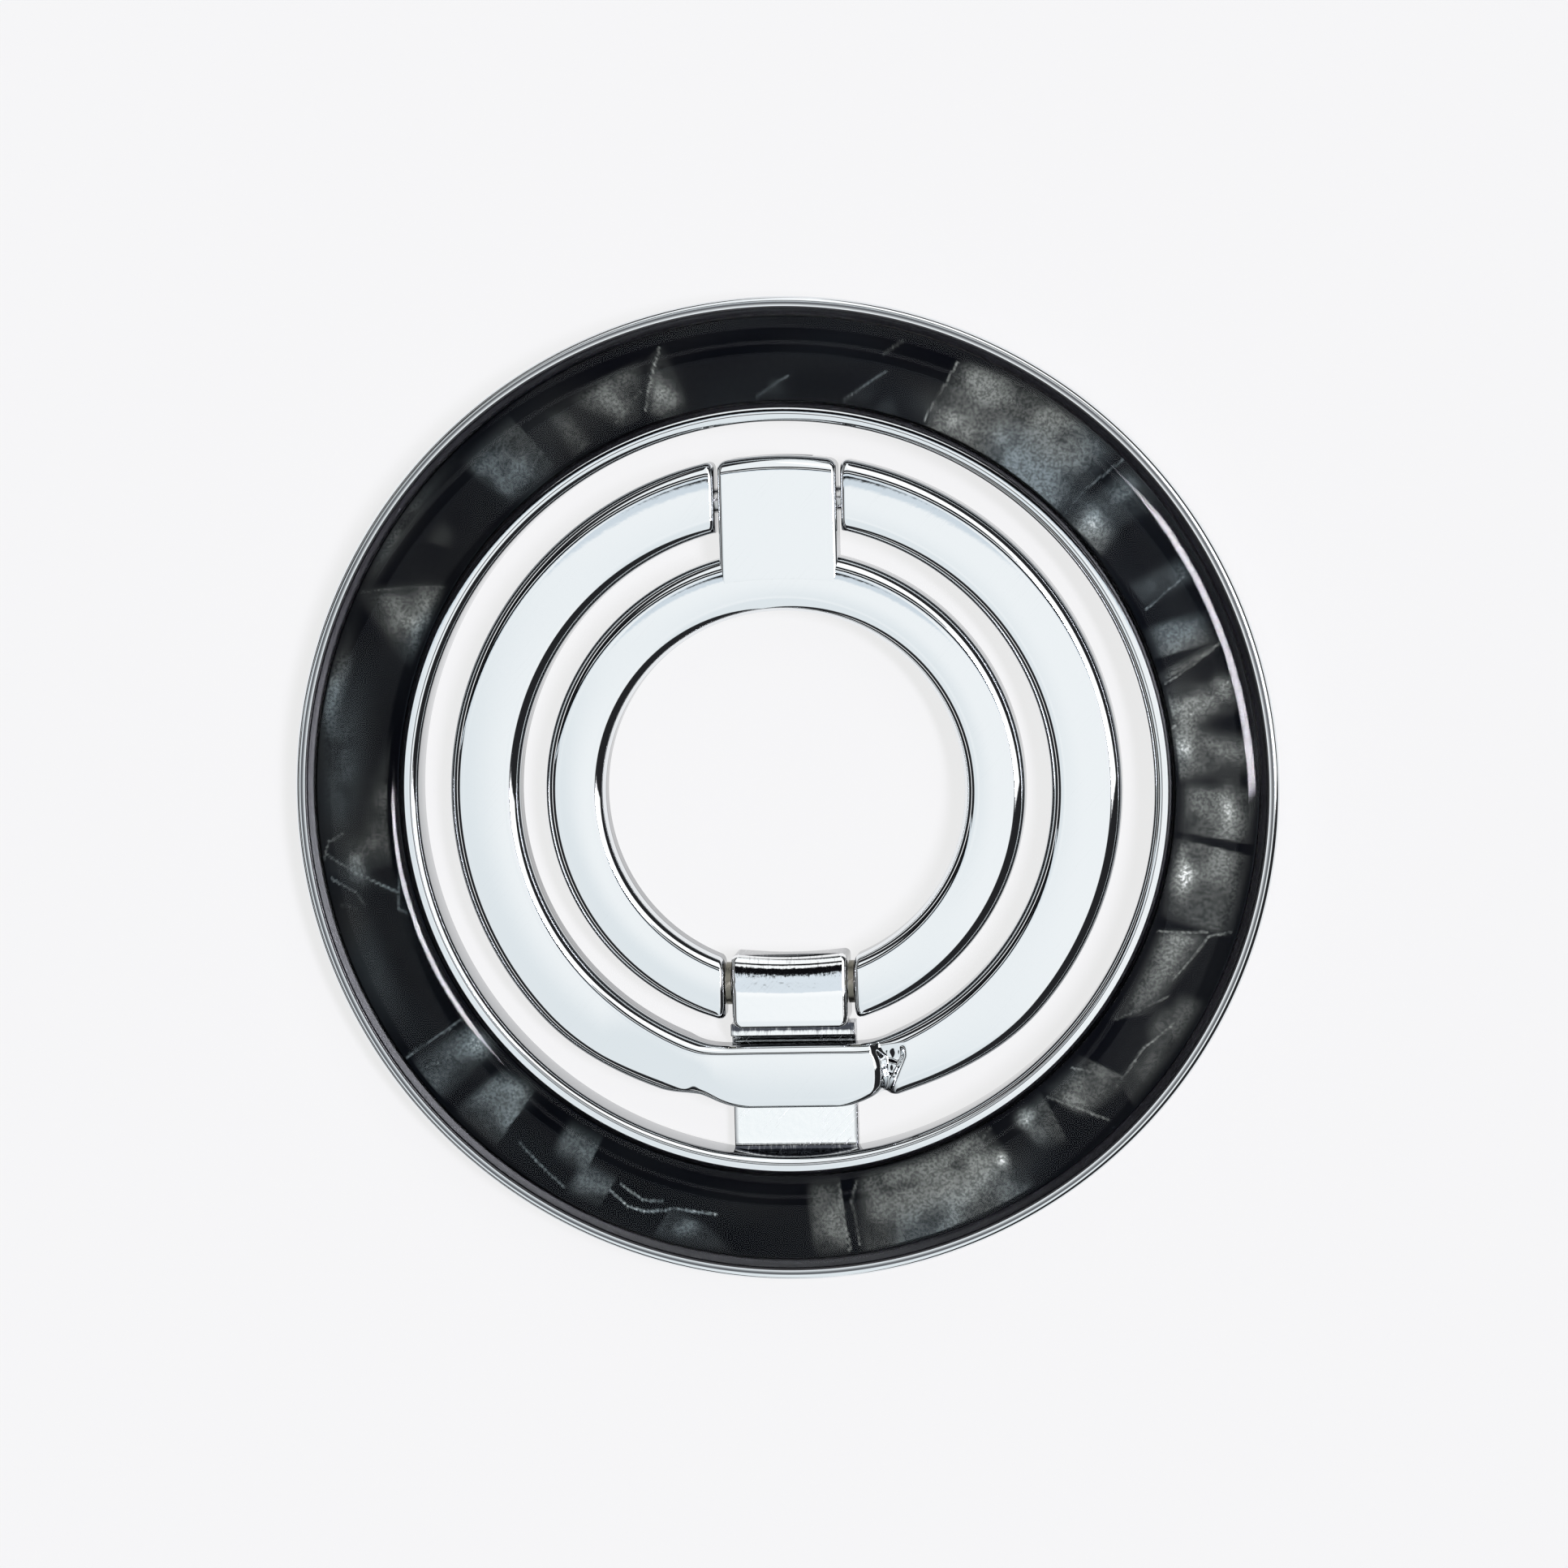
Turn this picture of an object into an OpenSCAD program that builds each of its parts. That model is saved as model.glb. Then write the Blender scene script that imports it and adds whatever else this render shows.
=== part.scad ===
// Folding ring holder for the back of a phone. A chrome-plated base ring holds
// magnets, a dark pearl inlay and a clear resin dome. A finger ring is hinged
// in the middle of it, and a larger C-shaped ring is hinged on the finger ring.
// The back face lies on z = 0 and the hinge of the finger ring is at -Y.

/* [Finger ring] */
// Diameter of the finger hole
finger_d = 21.9; // [20:0.1:24]
// Width of the finger ring's band
inner_band = 3.7; // [3.4:0.1:4.2]
// Width of the tab that carries the upper hinge
tab_w = 7.2; // [6:0.1:8]

/* [C-shaped ring] */
// Gap between the finger ring and the C-shaped ring
inner_gap = 1.55; // [1.2:0.05:2.2]
// Width of the C-shaped ring's band
middle_band = 4.3; // [4:0.1:5]
// Width of the flat bar that crosses the tongue
bar_w = 3.9; // [3.6:0.1:4.4]
// Length of the flat bar
bar_len = 11.8; // [11:0.1:13]
// How far the bar's top stands above the ring
bar_rise = 0.35; // [0.2:0.05:0.5]
// Running gap between the bar and the tongue below it
bar_clear = 0.35; // [0.25:0.05:0.45]
// How far the outline is flattened on the bar's side
flat_in = 0.6; // [0.1:0.05:0.8]

/* [Ring sections] */
// Thickness of both rings
ring_h = 2.8; // [2.6:0.1:3]
// Height of the rings' underside above the back face
ring_lift = 1.3; // [1.2:0.05:1.5]
// Radius of the rings' top edges
edge_r = 0.85; // [0.4:0.05:1]
// Radius of the rings' bottom edges
foot_r = 0.55; // [0.3:0.05:0.8]

/* [Base ring] */
// Gap between the C-shaped ring and the base ring
outer_gap = 1.95; // [1.6:0.05:2.6]
// Width of the base ring
base_band = 7.55; // [7:0.05:9]
// Thickness of the outer rim beside the resin
outer_rim = 0.72; // [0.5:0.02:1]
// Thickness of the inner rim beside the resin
inner_rim = 0.88; // [0.6:0.02:1.1]
// Thickness of both walls beside the magnets
back_wall = 1.1; // [0.9:0.05:1.4]
// Thickness of the web between the magnets and the inlay
web_h = 0.6; // [0.5:0.05:1]

/* [Magnets and pad] */
// Number of magnets
magnet_count = 18; // [12:1:24]
// Height of a magnet
magnet_h = 1.5; // [1.2:0.1:1.8]
// Gap between two magnets, and from a magnet to the wall
magnet_gap = 0.25; // [0.15:0.05:0.4]
// Thickness of the steel ring over the magnets
shunt_h = 0.4; // [0.3:0.05:0.6]
// Thickness of the back pad
pad_h = 0.6; // [0.5:0.05:0.8]
// How far the pad stands out of the metal
pad_proud = 0.3; // [0.2:0.05:0.4]
// Gap between the pad and the wall of its groove
pad_clear = 0.1; // [0.05:0.05:0.2]

/* [Inlay and resin] */
// Thickness of the pearl inlay
inlay_h = 0.3; // [0.2:0.05:0.4]
// Gap between the inlay's inner edge and its rim
inlay_in_gap = 0.7; // [0.4:0.05:0.9]
// Gap between the inlay's outer edge and its rim
inlay_out_gap = 0.45; // [0.3:0.05:0.7]
// Depth of the channel below the rims
channel_h = 0.9; // [0.7:0.05:1.2]
// How far the resin's crown stands above the rims
crown_h = 0.4; // [0.2:0.05:0.6]

/* [Tongue and hinges] */
// Width of the knuckle at the end of the tongue
knuckle_w = 7.04; // [6.4:0.04:7.6]
// Width of the tongue
tongue_w = 7.6; // [6.4:0.1:8]
// Thickness of the tongue where it passes under the bar
tongue_h = 1.2; // [1:0.05:1.3]
// Diameter of both hinge pins
pin_d = 1.5; // [1.2:0.05:1.6]
// Radial clearance of a pin in its bore
pin_fit = 0.04; // [0.02:0.01:0.08]
// Gap between the knuckle and each end of the finger ring
knuckle_gap = 0.45; // [0.4:0.05:0.6]
// Gap between the tab and each end of the C-shaped ring
tab_gap = 0.25; // [0.2:0.05:0.4]
// Diameter of the friction washers beside the knuckle
washer_d = 2.6; // [2.2:0.1:2.8]

/* [Hidden] */
$fn = 96;
fine_fn = 180;
cut = 0.01;
over = 1;
join = 0.1;

magnet_names = [for (i = [1:magnet_count]) str("magnet_", i < 10 ? "0" : "", i)];

// Radii, from the finger hole outwards
finger_r = finger_d / 2;
inner_r = finger_r + inner_band;
middle_in_r = inner_r + inner_gap;
middle_r = middle_in_r + middle_band;
hole_r = middle_r + outer_gap;
base_r = hole_r + base_band;
channel_in_r = hole_r + inner_rim;
channel_out_r = base_r - outer_rim;
groove_in_r = hole_r + back_wall;
groove_out_r = base_r - back_wall;

// Heights, from the back face upwards
magnet_z = pad_h;
shunt_z = magnet_z + magnet_h;
web_z = shunt_z + shunt_h;
channel_z = web_z + web_h;
rim_z = channel_z + channel_h;
ring_top = ring_lift + ring_h;
hinge_z = ring_lift + ring_h / 2;
tongue_z = pad_proud + tongue_h;
bar_z = tongue_z + bar_clear;
bar_top = ring_top + bar_rise;

// Hinge axes: each crosses the middle of its band this far from the centre line
pin_reach = 4.9;
bottom_y = -sqrt(pow(finger_r + inner_band / 2, 2) - pow(pin_reach, 2));
top_y = sqrt(pow(middle_in_r + middle_band / 2, 2) - pow(pin_reach, 2));
bore_depth = 2.1;
pin_end_gap = 0.1;
bore_r = pin_d / 2 + pin_fit;
knuckle_end = knuckle_w / 2 + knuckle_gap;
tab_end = tab_w / 2 + tab_gap;
washer_play = 0.06;

// Round edges and corners at the cut ends of both rings
end_round = 0.3;
end_corner = 0.5;
tab_short = 0.1;

// Edges of the base ring
rim_round_out = 0.3;
rim_round_in = 0.45;
back_round = 0.4;
pad_round = 0.05;
pad_back_round = 0.15;
resin_sink = 0.05;

// The bar and the necks beside it
bar_in_share = 0.4;
bar_in_y = sqrt(pow(middle_in_r, 2) - pow(bar_len * bar_in_share, 2));
bar_out_y = bar_in_y + bar_w;
bar_slant = 25;
bar_flat_share = 0.31;
bar_flat = bar_len * bar_flat_share;
bar_edge = 0.6;
bar_side_edge = 0.48;
bar_low_edge = 0.2;
neck_w = 1.2;
neck_drop = 0.4;
neck_in = 1;
flat_extra = 1.2;

// The knuckle and the ledge below it
knuckle_proud = 0.5;
knuckle_in_r = finger_r - knuckle_proud;
knuckle_back = 0.15;
knuckle_y = inner_r - knuckle_back;
knuckle_crown = 5;
knuckle_edge = 0.45;
cast_low_edge = 0.1;
knuckle_corner = 0.6;
crown_corner = 0.3;
ledge_w = 0.65;
ledge_h = 0.95;
ledge_fillet = 0.5;
root_fillet = 0.8;
root_depth = 0.2;
tongue_depth = 0.4;
tongue_edge = 0.2;

chrome = [0.86, 0.88, 0.9];
steel = [0.6, 0.6, 0.6];
far = base_r + 10;

// Section from a to b and from z0 to z1 with round corners
module round_band(a, b, z0, z1, top_r, low_r) {
    difference() {
        translate([a, z0]) square([b - a, z1 - z0]);
        translate([a - cut, z1 - top_r]) square(top_r + cut);
        translate([b - top_r, z1 - top_r]) square(top_r + cut);
        translate([a - cut, z0 - cut]) square(low_r + cut);
        translate([b - low_r, z0 - cut]) square(low_r + cut);
    }
    for (x = [a + top_r, b - top_r]) translate([x, z1 - top_r]) circle(top_r);
    for (x = [a + low_r, b - low_r]) translate([x, z0 + low_r]) circle(low_r);
}

// Extrudes an X-Z section along Y from y0 to y1
module along_y(y0, y1) {
    translate([0, y1, 0]) rotate([90, 0, 0]) linear_extrude(y1 - y0) children();
}

// Extrudes a Y-Z section along X from x0 to x1
module along_x(x0, x1) {
    translate([x0, 0, 0]) rotate([90, 0, 90]) linear_extrude(x1 - x0) children();
}

// A cylinder along X from x0 to x1 at a hinge axis
module rod(r, x0, x1, y) {
    translate([x0, y, hinge_z]) rotate([0, 90, 0]) cylinder(r = r, h = x1 - x0);
}

// Shape to cut off, which leaves a round upright corner at x, y
module corner_cut(x, y, r, x_side, y_side) {
    translate([x, y, -over]) linear_extrude(bar_top + 2 * over) difference() {
        translate([x_side < 0 ? -r - over : 0, y_side < 0 ? -r - over : 0]) square(r + over);
        circle(r);
    }
}

module ring_band(r_in, r_out) {
    rotate_extrude($fn = fine_fn)
        round_band(r_in, r_out, ring_lift, ring_top, edge_r, foot_r);
}

// Casting with the channel for the inlay, the groove for the magnets and the tongue
module base_frame() {
    color(chrome) difference() {
        union() {
            rotate_extrude($fn = fine_fn) base_section();
            tongue();
            knuckle();
        }
        rod(bore_r, -knuckle_w, knuckle_w, bottom_y);
    }
}

module base_section() {
    difference() {
        translate([hole_r, pad_proud]) square([base_band, rim_z - pad_proud]);
        translate([channel_in_r, channel_z])
            square([channel_out_r - channel_in_r, channel_h + cut]);
        translate([groove_in_r, pad_proud - cut])
            square([groove_out_r - groove_in_r, web_z - pad_proud + cut]);
        rim_cut(base_r, rim_z, rim_round_out, 1, 1);
        rim_cut(hole_r, rim_z, rim_round_in, -1, 1);
        rim_cut(base_r, pad_proud, back_round, 1, -1);
        rim_cut(hole_r, pad_proud, back_round, -1, -1);
    }
}

// What a round corner of radius r takes off a square corner at a, z
module rim_cut(a, z, r, a_side, z_side) {
    translate([a - a_side * r, z - z_side * r]) difference() {
        translate([a_side < 0 ? -r - cut : 0, z_side < 0 ? -r - cut : 0]) square(r + cut);
        circle(r);
    }
}

// Flat strap under the bar, with a ledge at the knuckle and a fillet at the rim
module tongue() {
    ledge_y = -knuckle_y - ledge_w;
    along_y(-hole_r - tongue_depth, -knuckle_y + join)
        round_band(-tongue_w / 2, tongue_w / 2, pad_proud, tongue_z, tongue_edge,
                   cast_low_edge);
    along_x(-tongue_w / 2 + tongue_edge, tongue_w / 2 - tongue_edge) {
        translate([ledge_y, pad_proud]) square([ledge_w + join, tongue_h + ledge_h]);
        translate([ledge_y - ledge_fillet, tongue_z]) difference() {
            square([ledge_fillet + cut, ledge_fillet]);
            translate([0, ledge_fillet]) circle(ledge_fillet);
        }
        translate([-hole_r - root_depth, tongue_z]) difference() {
            square([root_fillet, root_fillet]);
            translate([root_fillet, root_fillet]) circle(root_fillet);
        }
    }
}

// Block between the ends of the finger ring, crowned towards the finger hole
module knuckle() {
    crown_x = knuckle_w / 2 - crown_corner;
    difference() {
        intersection() {
            along_x(-far, far) knuckle_profile();
            along_y(-far, 0)
                round_band(-knuckle_w / 2, knuckle_w / 2, pad_proud, ring_top,
                           knuckle_edge / 2, cast_low_edge);
            rotate_extrude($fn = fine_fn)
                round_band(knuckle_in_r, far, pad_proud, ring_top, knuckle_edge, foot_r);
        }
        for (side = [-1, 1]) {
            corner_cut(side * (knuckle_w / 2 - knuckle_corner), -knuckle_y + knuckle_corner,
                       knuckle_corner, side, -1);
            corner_cut(side * crown_x, -sqrt(pow(knuckle_in_r + crown_corner, 2) - pow(crown_x, 2)),
                       crown_corner, side, 1);
        }
    }
}

module knuckle_profile() {
    intersection() {
        round_band(-knuckle_y, 0, pad_proud, ring_top, knuckle_edge, cast_low_edge);
        union() {
            translate([-far, 0]) square([far + bottom_y, far]);
            translate([bottom_y, ring_top - knuckle_crown]) circle(knuckle_crown);
        }
    }
}

// Flat ring of pearl sheet on the floor of the channel
module pearl_inlay() {
    color([0.13, 0.14, 0.15]) rotate_extrude($fn = fine_fn)
        translate([channel_in_r + inlay_in_gap, channel_z])
            square([channel_out_r - inlay_out_gap - channel_in_r - inlay_in_gap, inlay_h]);
}

// Clear resin that fills the channel over the inlay and domes above the rims
module resin_dome() {
    half = (channel_out_r - channel_in_r) / 2;
    edge_z = rim_z - resin_sink;
    rise = rim_z + crown_h - edge_z;
    dome_r = (half * half + rise * rise) / (2 * rise);
    color([0.62, 0.66, 0.7, 0.4]) rotate_extrude($fn = fine_fn) difference() {
        intersection() {
            translate([channel_in_r, channel_z]) square([2 * half, far]);
            translate([channel_in_r + half, rim_z + crown_h - dome_r])
                circle(dome_r, $fn = fine_fn);
        }
        translate([channel_in_r + inlay_in_gap, channel_z - cut])
            square([2 * half - inlay_in_gap - inlay_out_gap, inlay_h + cut]);
    }
}

// Soft ring that closes the groove and touches the phone
module back_pad() {
    color([0.12, 0.12, 0.13]) rotate_extrude($fn = fine_fn)
        round_band(groove_in_r + pad_clear, groove_out_r - pad_clear, 0, pad_h,
                   pad_round, pad_back_round);
}

// Steel ring between the magnets and the casting
module shunt_ring() {
    color(steel) rotate_extrude($fn = fine_fn)
        translate([groove_in_r + magnet_gap, shunt_z])
            square([groove_out_r - groove_in_r - 2 * magnet_gap, shunt_h]);
}

// One arc magnet of the ring of magnets
module magnet(i) {
    pitch = 360 / magnet_count;
    gap_angle = 2 * asin(magnet_gap / 2 / groove_in_r);
    color([0.72, 0.72, 0.74]) rotate([0, 0, 90 + i * pitch + gap_angle / 2])
        rotate_extrude(angle = pitch - gap_angle)
            translate([groove_in_r + magnet_gap, magnet_z])
                square([groove_out_r - groove_in_r - 2 * magnet_gap, magnet_h]);
}

// Pin of the lower hinge, fixed in the knuckle
module bottom_pin() {
    reach = knuckle_end + bore_depth - pin_end_gap;
    color(steel) rod(pin_d / 2, -reach, reach, bottom_y);
}

// Friction washer between the knuckle and one end of the finger ring
module washer(side) {
    x0 = knuckle_w / 2 + washer_play;
    x1 = knuckle_end - washer_play;
    color([0.42, 0.42, 0.38]) difference() {
        rod(washer_d / 2, side < 0 ? -x1 : x0, side < 0 ? -x0 : x1, bottom_y);
        rod(bore_r, (side < 0 ? -x1 : x0) - over, (side < 0 ? -x0 : x1) + over, bottom_y);
    }
}

// Finger ring, open at the knuckle, with the tab of the upper hinge
module inner_ring() {
    color(chrome) difference() {
        union() {
            intersection() {
                ring_band(finger_r, inner_r);
                union() {
                    translate([-far, 0, 0]) cube([2 * far, far, ring_top + over]);
                    along_y(-far, cut) ring_end(knuckle_end);
                    mirror([1, 0, 0]) along_y(-far, cut) ring_end(knuckle_end);
                }
            }
            tab();
        }
        for (side = [0, 1]) mirror([side, 0, 0]) {
            rod(bore_r, knuckle_end - over, knuckle_end + bore_depth, bottom_y);
            corner_cut(knuckle_end + end_corner,
                       -sqrt(pow(inner_r, 2) - pow(knuckle_end + end_corner, 2)) + end_corner,
                       end_corner, -1, -1);
        }
        rod(bore_r, -tab_w, tab_w, top_y);
    }
}

// Rounded half-space that gives an end of a ring its round edges
module ring_end(x) {
    round_band(x, far, ring_lift, ring_top, end_round, end_round);
}

module tab() {
    corner_x = tab_w / 2 - end_corner;
    tab_r = middle_r - tab_short;
    difference() {
        intersection() {
            ring_band(finger_r + over, tab_r);
            along_y(finger_r, far)
                round_band(-tab_w / 2, tab_w / 2, ring_lift, ring_top, end_round, end_round);
        }
        for (side = [-1, 1])
            corner_cut(side * corner_x, sqrt(pow(tab_r, 2) - pow(corner_x, 2)) - end_corner,
                       end_corner, side, 1);
    }
}

// Pin of the upper hinge, through the tab and into both ends of the C-shaped ring
module top_pin() {
    reach = tab_end + bore_depth - pin_end_gap;
    color(steel) rod(pin_d / 2, -reach, reach, top_y);
}

// C-shaped ring with the raised bar that bridges the tongue
module middle_ring() {
    color(chrome) difference() {
        union() {
            for (side = [0, 1]) mirror([side, 0, 0]) {
                middle_half();
                neck();
            }
            bar();
        }
        for (side = [0, 1]) mirror([side, 0, 0]) {
            rod(bore_r, tab_end - over, tab_end + bore_depth, top_y);
            corner_cut(tab_end + end_corner,
                       sqrt(pow(middle_r, 2) - pow(tab_end + end_corner, 2)) - end_corner,
                       end_corner, -1, 1);
        }
    }
}

// One half of the C: it starts beside the tab and ends at the neck
module middle_half() {
    flat_r = middle_r + flat_extra;
    intersection() {
        ring_band(middle_in_r, middle_r);
        translate([0, flat_r - middle_r + flat_in, 0]) ring_band(over, flat_r);
        union() {
            along_y(0, far) ring_end(tab_end);
            along_y(-far, cut) ring_end(bar_len / 2 + neck_w);
        }
    }
}

// Low saddle between the bar and one half of the C
module neck() {
    intersection() {
        rotate_extrude($fn = fine_fn)
            round_band(middle_in_r, middle_r - neck_in, ring_lift, ring_top - neck_drop,
                       foot_r, foot_r);
        translate([bar_len / 2 - over, -far, 0]) cube([neck_w + 2 * over, far, ring_top]);
    }
}

// Flat bar: round edges along it, slanted outer corners and round ends
module bar() {
    intersection() {
        along_x(-far, far) bar_profile();
        along_y(-far, 0)
            round_band(-bar_len / 2, bar_len / 2, bar_z, bar_top, bar_edge, bar_low_edge);
        bar_corner(0);
        bar_corner(1);
    }
}

module bar_profile() {
    round_band(-bar_out_y, -bar_in_y, bar_z, bar_top, bar_side_edge, foot_r);
}

// Half-space that slants off one outer corner of the bar
module bar_corner(side) {
    mirror([side, 0, 0]) translate([bar_flat, -bar_out_y, 0]) rotate([0, 0, bar_slant])
        along_x(-far, far) round_band(0, far, bar_z, bar_top, bar_side_edge, bar_low_edge);
}

base_frame();
pearl_inlay();
resin_dome();
back_pad();
shunt_ring();
for (i = [0:magnet_count - 1]) magnet(i);
bottom_pin();
washer(-1);  // washer_left
washer(1);  // washer_right
inner_ring();
top_pin();
middle_ring();
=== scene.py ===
# %% [markdown]
# # A folding ring holder for a phone
# A chrome base ring with a dark pearl band under clear resin carries two chrome
# rings that fold out of it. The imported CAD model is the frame: it gives the
# places and the joints, and this lesson makes the surfaces that are looked at.

# %% Load the frame
import math
import bpy
import numpy as np
from mathutils import Matrix, Vector


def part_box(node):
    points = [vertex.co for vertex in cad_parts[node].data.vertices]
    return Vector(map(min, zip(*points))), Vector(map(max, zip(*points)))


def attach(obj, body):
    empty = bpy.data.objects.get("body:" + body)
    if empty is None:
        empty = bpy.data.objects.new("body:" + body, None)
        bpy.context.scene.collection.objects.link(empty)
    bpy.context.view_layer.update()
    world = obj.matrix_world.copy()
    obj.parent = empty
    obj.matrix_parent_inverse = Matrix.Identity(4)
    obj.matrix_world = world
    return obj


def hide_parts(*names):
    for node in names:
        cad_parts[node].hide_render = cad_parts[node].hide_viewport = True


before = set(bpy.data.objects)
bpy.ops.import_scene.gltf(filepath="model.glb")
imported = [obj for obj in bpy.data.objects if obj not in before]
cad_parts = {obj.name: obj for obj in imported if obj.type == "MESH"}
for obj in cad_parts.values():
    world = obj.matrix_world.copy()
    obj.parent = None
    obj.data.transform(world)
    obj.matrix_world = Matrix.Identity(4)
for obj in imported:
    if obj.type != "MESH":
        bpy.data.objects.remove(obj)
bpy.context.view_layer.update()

# %% [markdown]
# ## Sizes
# All lengths are in millimetres and repeat the part's source, because a round edge
# needs the plain radius under it. The span of the finger ring is measured from the
# frame and printed, so that a changed part can be noticed here.

# %% Sizes of the rings
MM = 0.001
FINGER_R, INNER_R = 10.95, 14.65
MIDDLE_IN_R, MIDDLE_R = 16.2, 20.5
HOLE_R, BASE_R = 22.45, 30.0
CHANNEL_IN, CHANNEL_OUT = 23.33, 29.28
GROOVE_IN, GROOVE_OUT = 23.55, 28.9
RING_LOW, RING_TOP = 1.3, 4.1
BACK_Z, WEB_Z, CHANNEL_Z, RIM_Z = 0.3, 2.5, 3.1, 4.0
TONGUE_Z, BAR_LOW, BAR_TOP = 1.5, 1.85, 4.45
CROWN_Z = RIM_Z + 0.4
LOWER_Y = -12
SCALE_UP = 1000.0
low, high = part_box("inner_ring")
print("finger ring spans", [round(v * SCALE_UP, 2) for v in (*low, *high)])


# %% [markdown]
# ## Surfaces from arrays
# Every new piece is a grid of points worked out with numpy: one parameter runs
# round a section, the other runs along the piece. The grid becomes quads, open
# ends get one flat face, and the sign of the volume tells whether the faces
# point outwards.

# %% Grid to mesh
def grid_quads(rows, cols, wrap_rows):
    """Quads between neighbours of a rows x cols grid that is closed along cols."""
    r = np.arange(rows if wrap_rows else rows - 1)[:, None]
    c = np.arange(cols)[None, :]
    r2, c2 = (r + 1) % rows, (c + 1) % cols
    corners = (r * cols + c, r * cols + c2, r2 * cols + c2, r2 * cols + c)
    return np.stack([np.broadcast_to(k, (r.shape[0], cols)) for k in corners], -1).reshape(-1, 4)


def signed_volume(points, quads):
    """Sum of the signed volumes of the tetrahedra from the origin to each triangle."""
    a, b, c, d = (points[quads[:, k]] for k in range(4))
    one = np.einsum("ij,ij->i", a, np.cross(b, c))
    two = np.einsum("ij,ij->i", a, np.cross(c, d))
    return float((one + two).sum() / 6)


def piece_from_grid(name, grid, body, nodes=(), wrap_rows=False):
    """Makes a closed piece from a grid of points in millimetres and lets it ride."""
    rows, cols = grid.shape[:2]
    points = grid.reshape(-1, 3)
    quads = grid_quads(rows, cols, wrap_rows)
    middle = points.mean(0)
    flip = signed_volume(points - middle, quads) < 0
    faces = (quads[:, ::-1] if flip else quads).tolist()
    if not wrap_rows:
        first, last = np.arange(cols), np.arange(cols) + (rows - 1) * cols
        ends = [first[::-1], last] if not flip else [first, last[::-1]]
        faces += [end.tolist() for end in ends]
    mesh = bpy.data.meshes.new(name)
    mesh.from_pydata((points * MM).tolist(), [], faces)
    mesh.polygons.foreach_set("use_smooth", np.ones(len(mesh.polygons), bool))
    mesh.update()
    piece = bpy.data.objects.new(name, mesh)
    bpy.context.scene.collection.objects.link(piece)
    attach(piece, body)
    if nodes:
        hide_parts(*nodes)
    print(f"{name}: {len(points)} points, {abs(signed_volume(points - middle, quads)):.1f} mm3")
    return piece


# %% [markdown]
# ## Round edges
# Plated castings have no sharp edges. A section here is a rectangle with four
# superelliptic corners: their curvature starts at nothing, which gives the soft
# start of a polished edge, and a support point beside each corner keeps the
# flat faces flat, so that they mirror like glass.

# %% Section with round corners
CORNER_STEPS = 14
SOFT_POWER = 2 / 2.25
SUPPORT = 0.03


def corner_template():
    """Unit corner points: x falls as cos^p and y rises as sin^p over a quarter."""
    t = np.linspace(0, np.pi / 2, CORNER_STEPS)
    return np.abs(np.cos(t)) ** SOFT_POWER, np.abs(np.sin(t)) ** SOFT_POWER


def soft_section(a0, a1, z0, z1, r_low0, r_low1, r_top1, r_top0, across, crown=0.0):
    """Closed sections from a0 to a1 and z0 to z1, each corner with its own radius.

    The inputs are one number per row. Each corner is its centre plus the radius
    times the unit corner, turned into its quadrant. across is the number of extra
    points on the top and the bottom face, and crown is how far the middle of the
    top face stands above its edges. The result is (rows, points, 2)."""
    c, s = corner_template()
    arcs = []
    corners = ((a1, z0, r_low1, 1, -1, True), (a1, z1, r_top1, 1, 1, False),
               (a0, z1, r_top0, -1, 1, True), (a0, z0, r_low0, -1, -1, False))
    for a, z, r, sa, sz, swap in corners:
        a, z, r = (np.asarray(v, float)[:, None] for v in (a, z, r))
        ca, cz = (s, c) if swap else (c, s)
        pa = a - sa * r + sa * r * ca[None, :]
        pz = z - sz * r + sz * r * cz[None, :]
        arc = np.stack([pa, pz], -1)
        along_a, along_z = np.array([-sa * SUPPORT, 0.0]), np.array([0.0, -sz * SUPPORT])
        lead, tail = (along_a, along_z) if swap else (along_z, along_a)
        arcs.append(np.concatenate([arc[:, :1] + lead, arc, arc[:, -1:] + tail], 1))
    share = (np.arange(across) + 1)[None, :, None] / (across + 1)
    top = arcs[1][:, -1:] + (arcs[2][:, :1] - arcs[1][:, -1:]) * share
    top[..., 1] += crown * (4 * share * (1 - share))[..., 0]
    base = arcs[3][:, -1:] + (arcs[0][:, :1] - arcs[3][:, -1:]) * share
    return np.concatenate([arcs[0], arcs[1], top, arcs[2], arcs[3], base], 1)


def drop(radius, e):
    """How far a quarter circle of this radius lies below its top, e from its side."""
    gone = np.clip(radius - e, 0, radius)
    return radius - np.sqrt(np.maximum(radius ** 2 - gone ** 2, 0))


def end_steps(radius, count=12):
    """Distances from an end that follow a quarter circle, so its rows turn evenly."""
    return radius * (1 - np.cos(np.linspace(0, np.pi / 2, count)))


def with_ends(length, radius, step):
    """Distances along a piece: dense at its round ends and even between them."""
    head = end_steps(radius)
    middle = np.arange(radius + step, length - radius, step)
    tail = (length - head)[::-1]
    return np.unique(np.round(np.concatenate([head, middle, tail]), 6))


# %% Soft steps
def smooth_step(x, a, b):
    """0 below a, 1 above b, with a smooth rise between them."""
    t = np.clip((x - a) / (b - a), 0, 1)
    return t * t * (3 - 2 * t)


def soft_min(a, b, k):
    """The smaller of two values, blended over about k."""
    h = np.clip(0.5 + 0.5 * (b - a) / k, 0, 1)
    return b + (a - b) * h - k * h * (1 - h)


def soft_max(a, b, k):
    """The larger of two values, blended over about k."""
    return -soft_min(-a, -b, k)


# %% [markdown]
# ## The finger ring
# A C of constant section, open at the lower hinge. Its ends are cut along X, not
# along the radius, so the angle of each point depends on its radius: it runs
# from the cut on one side to the cut on the other.

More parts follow.
